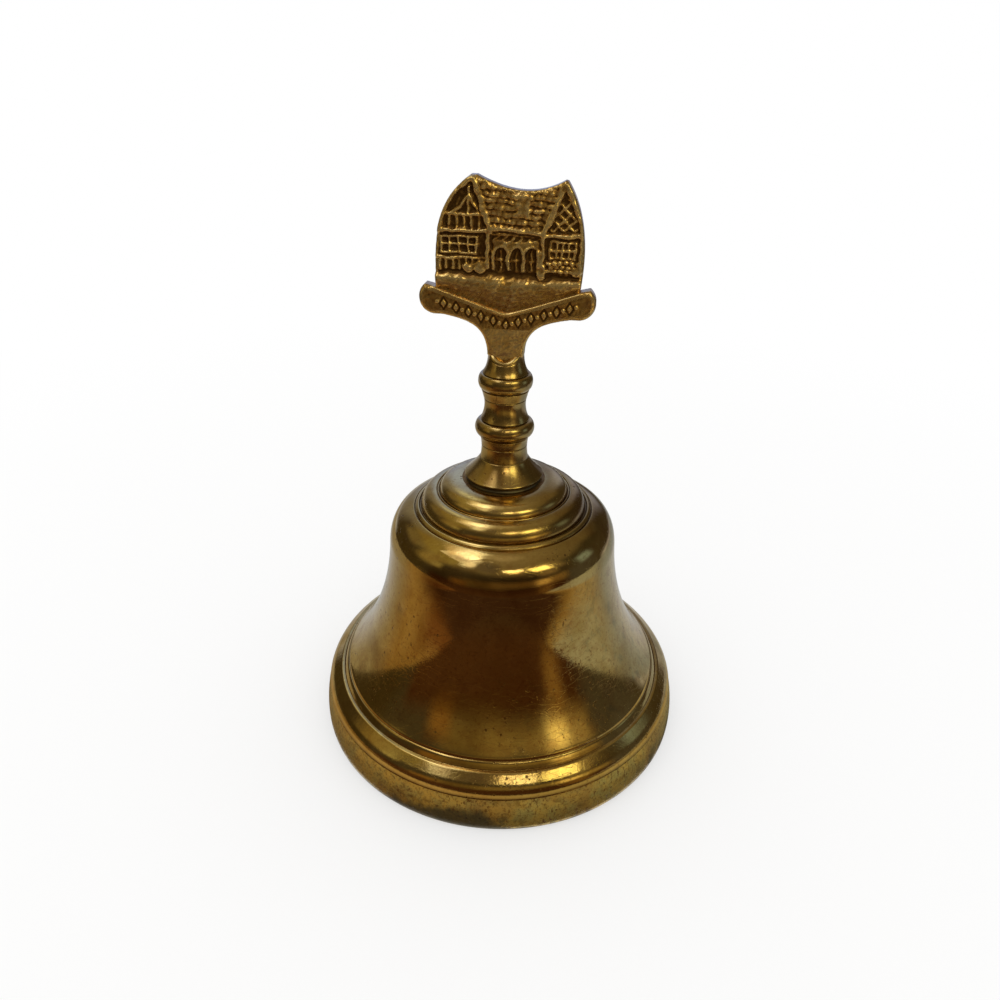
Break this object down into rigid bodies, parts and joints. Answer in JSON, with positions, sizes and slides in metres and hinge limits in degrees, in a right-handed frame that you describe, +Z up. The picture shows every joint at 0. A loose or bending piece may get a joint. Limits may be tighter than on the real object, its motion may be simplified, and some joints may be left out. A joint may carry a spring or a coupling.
{
  "type": "table bell",
  "caption": "Cast bell standing on its rim, with a turned and cast handle that ends in a flat relief plaque, and a clapper on a link and eye bolt inside.",
  "frame": {"origin": "on the bell's axis, at the bottom of the rim", "axes": "+Z up the bell's axis to the handle, the plaque faces -Y, +X to the plaque's right"},
  "size_m": [0.0723, 0.0722, 0.1017],
  "materials": {
    "bell_brass": "polished and tarnished",
    "handle_brass": "cast relief, rubbed bright on top and dark in the hollows",
    "ball_brass": "dull turned brass",
    "fastener_steel": "dull zinc-plated steel",
    "wire_steel": "dark drawn wire"
  },
  "bodies": {
    "bell": {"bell_body": "bell_brass", "handle": "handle_brass", "eye_bolt": "fastener_steel", "crown_washer": "fastener_steel", "clamp_nut": "fastener_steel"},
    "link": {"clapper_link": "wire_steel"},
    "clapper": {"clapper_rod": "wire_steel", "clapper_ball": "ball_brass"}
  },
  "joints": [
    {"name": "link_swing", "type": "hinge", "parent": "bell", "child": "link", "pos_m": [0, 0, 0.0381], "axis": [1, 0, 0], "range_deg": [-12, 12]},
    {"name": "clapper_swing", "type": "hinge", "parent": "link", "child": "clapper", "pos_m": [0, 0, 0.0327], "axis": [0, 1, 0], "range_deg": [-47, 47]}
  ]
}
